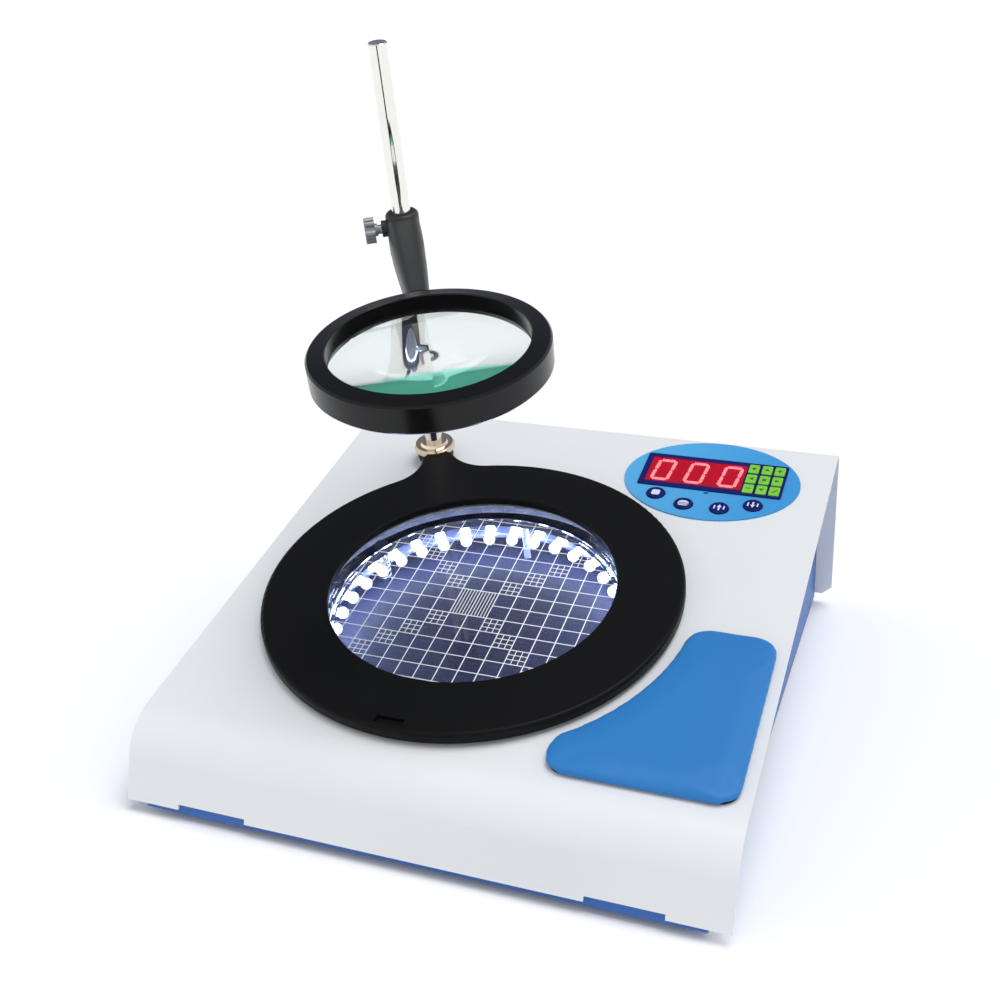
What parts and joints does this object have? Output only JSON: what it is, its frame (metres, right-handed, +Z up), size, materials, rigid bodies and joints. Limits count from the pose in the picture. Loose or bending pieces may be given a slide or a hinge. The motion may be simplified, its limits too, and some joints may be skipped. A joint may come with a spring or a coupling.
{
  "type": "digital colony counter",
  "caption": "Benchtop counter with a sloped case, a lit and gridded dish well in a pressure ring, a magnifier on a post, a digit panel with keys and a palm rest.",
  "frame": {"origin": "middle of the case footprint, on the surface the feet stand on", "axes": "+Z up, +X to the right of the operator, who sits on the -Y side; the deck rises towards +Y"},
  "size_m": [0.287, 0.3301, 0.3375],
  "materials": {
    "white_paint": "fine powder coat",
    "blue_paint": "fine powder coat",
    "black_plastic": "satin moulded",
    "lens_black": "gloss moulded",
    "arm_grey": "satin moulded",
    "clear_acrylic": "polished clear",
    "grid_glass": "polished, ruled in white",
    "lens_glass": "polished clear",
    "dark_field": "satin dark blue",
    "chrome": "polished",
    "brass": "polished",
    "steel": "zinc plated",
    "aluminium": "turned",
    "black_anodised": "black anodised",
    "foot_rubber": "matt",
    "pad_blue": "soft skin, fine grain",
    "panel_blue": "printed film, satin",
    "navy_plastic": "satin printed",
    "key_green": "soft satin",
    "red_filter": "transparent red",
    "lit_segment": "lit",
    "lamp_white": "clear, lit",
    "white_plastic": "moulded",
    "circuit_board": "solder mask",
    "black_parts": "moulded",
    "knob_grey": "moulded"
  },
  "bodies": {
    "case": {"base_pan": "blue_paint", "buzzer": "black_parts", "case_screws": "steel", "control_board": "circuit_board", "count_switch": "black_parts", "dark_field_plate": "dark_field", "deck_nuts": "steel", "digit_module": "black_parts", "digit_segments": "lit_segment", "display_bezel": "navy_plastic", "display_panel": "panel_blue", "display_window": "red_filter", "feet": "foot_rubber", "guide_pins": "steel", "lamp_housing": "black_plastic", "led_board": "white_plastic", "leds": "lamp_white", "palm_rest": "pad_blue", "palm_rest_base": "black_plastic", "pen_jack": "steel", "post": "chrome", "post_socket": "aluminium", "power_inlet": "black_plastic", "power_supply": "circuit_board", "rocker_housing": "black_plastic", "sensitivity_pot": "steel", "stage_springs": "steel", "tact_switches": "black_parts", "top_cover": "white_paint"},
    "stage": {"stage_ring": "black_plastic", "guide_bush": "brass", "dish_well": "clear_acrylic", "grid_plate": "grid_glass", "stage_carrier": "black_anodised", "count_plunger": "white_plastic"},
    "switch_lever": {"count_switch_lever": "steel"},
    "post_slider": {"arm_liner": "black_parts"},
    "magnifier": {"magnifier_arm": "arm_grey", "lens_frame": "lens_black", "lens": "lens_glass", "lens_retainer": "lens_black", "thumb_screw_pad": "brass"},
    "thumb_screw": {"thumb_screw": "aluminium"},
    "power_rocker": {"power_rocker": "black_parts"},
    "sensitivity_knob": {"sensitivity_knob": "knob_grey"},
    "fuse_drawer": {"fuse_drawer": "black_parts"},
    "key_1": {"key_1": "key_green"},
    "key_2": {"key_2": "key_green"},
    "key_3": {"key_3": "key_green"},
    "key_4": {"key_4": "key_green"},
    "key_5": {"key_5": "key_green"},
    "key_6": {"key_6": "key_green"},
    "key_7": {"key_7": "key_green"},
    "key_8": {"key_8": "key_green"},
    "key_9": {"key_9": "key_green"},
    "button_1": {"button_1": "navy_plastic"},
    "button_2": {"button_2": "navy_plastic"},
    "button_3": {"button_3": "navy_plastic"},
    "button_4": {"button_4": "navy_plastic"}
  },
  "joints": [
    {"name": "stage_press", "type": "slide", "parent": "case", "child": "stage", "axis": [0, 0.2368, -0.9715], "range_m": [0, 0.0012], "stiffness_N_per_m": 4000, "springref_m": -0.003, "deforming": ["stage_springs"]},
    {"name": "count_lever_turn", "type": "hinge", "parent": "case", "child": "switch_lever", "pos_m": [-0.00425, 0.05585, 0.04835], "axis": [0, 0.9715, 0.2368], "range_deg": [-5, 0]},
    {"name": "magnifier_lift", "type": "slide", "parent": "case", "child": "post_slider", "axis": [0, -0.2368, 0.9715], "range_m": [-0.113, 0.083]},
    {"name": "magnifier_swing", "type": "hinge", "parent": "post_slider", "child": "magnifier", "pos_m": [-0.08475, 0.04732, 0.23576], "axis": [0, -0.2368, 0.9715], "continuous": true},
    {"name": "thumb_screw_turn", "type": "hinge", "parent": "magnifier", "child": "thumb_screw", "pos_m": [-0.09538, 0.04015, 0.24173], "axis": [-0.8862, -0.4501, -0.1097], "range_deg": [0, 720]},
    {"name": "power_rocker_tip", "type": "hinge", "parent": "case", "child": "power_rocker", "pos_m": [-0.052, 0.14698, 0.0597], "axis": [1, 0, 0], "range_deg": [0, 14]},
    {"name": "sensitivity_turn", "type": "hinge", "parent": "case", "child": "sensitivity_knob", "pos_m": [0.092, 0.15555, 0.06243], "axis": [0, 0.9527, 0.304], "range_deg": [-135, 135]},
    {"name": "fuse_drawer_pull", "type": "slide", "parent": "case", "child": "fuse_drawer", "axis": [0, 0.9527, 0.304], "range_m": [0, 0.012]},
    {"name": "key_1_press", "type": "slide", "parent": "case", "child": "key_1", "axis": [0, 0.2368, -0.9715], "range_m": [0, 0.0005], "stiffness_N_per_m": 2000, "springref_m": -0.0005},
    {"name": "key_2_press", "type": "slide", "parent": "case", "child": "key_2", "axis": [0, 0.2368, -0.9715], "range_m": [0, 0.0005], "stiffness_N_per_m": 2000, "springref_m": -0.0005},
    {"name": "key_3_press", "type": "slide", "parent": "case", "child": "key_3", "axis": [0, 0.2368, -0.9715], "range_m": [0, 0.0005], "stiffness_N_per_m": 2000, "springref_m": -0.0005},
    {"name": "key_4_press", "type": "slide", "parent": "case", "child": "key_4", "axis": [0, 0.2368, -0.9715], "range_m": [0, 0.0005], "stiffness_N_per_m": 2000, "springref_m": -0.0005},
    {"name": "key_5_press", "type": "slide", "parent": "case", "child": "key_5", "axis": [0, 0.2368, -0.9715], "range_m": [0, 0.0005], "stiffness_N_per_m": 2000, "springref_m": -0.0005},
    {"name": "key_6_press", "type": "slide", "parent": "case", "child": "key_6", "axis": [0, 0.2368, -0.9715], "range_m": [0, 0.0005], "stiffness_N_per_m": 2000, "springref_m": -0.0005},
    {"name": "key_7_press", "type": "slide", "parent": "case", "child": "key_7", "axis": [0, 0.2368, -0.9715], "range_m": [0, 0.0005], "stiffness_N_per_m": 2000, "springref_m": -0.0005},
    {"name": "key_8_press", "type": "slide", "parent": "case", "child": "key_8", "axis": [0, 0.2368, -0.9715], "range_m": [0, 0.0005], "stiffness_N_per_m": 2000, "springref_m": -0.0005},
    {"name": "key_9_press", "type": "slide", "parent": "case", "child": "key_9", "axis": [0, 0.2368, -0.9715], "range_m": [0, 0.0005], "stiffness_N_per_m": 2000, "springref_m": -0.0005},
    {"name": "button_1_press", "type": "slide", "parent": "case", "child": "button_1", "axis": [0, 0.2368, -0.9715], "range_m": [0, 0.0008], "stiffness_N_per_m": 1500, "springref_m": -0.0007},
    {"name": "button_2_press", "type": "slide", "parent": "case", "child": "button_2", "axis": [0, 0.2368, -0.9715], "range_m": [0, 0.0008], "stiffness_N_per_m": 1500, "springref_m": -0.0007},
    {"name": "button_3_press", "type": "slide", "parent": "case", "child": "button_3", "axis": [0, 0.2368, -0.9715], "range_m": [0, 0.0008], "stiffness_N_per_m": 1500, "springref_m": -0.0007},
    {"name": "button_4_press", "type": "slide", "parent": "case", "child": "button_4", "axis": [0, 0.2368, -0.9715], "range_m": [0, 0.0008], "stiffness_N_per_m": 1500, "springref_m": -0.0007}
  ],
  "couplings": [
    {"joint": "count_lever_turn", "follows": "stage_press", "rad_per_m": -71.429}
  ]
}
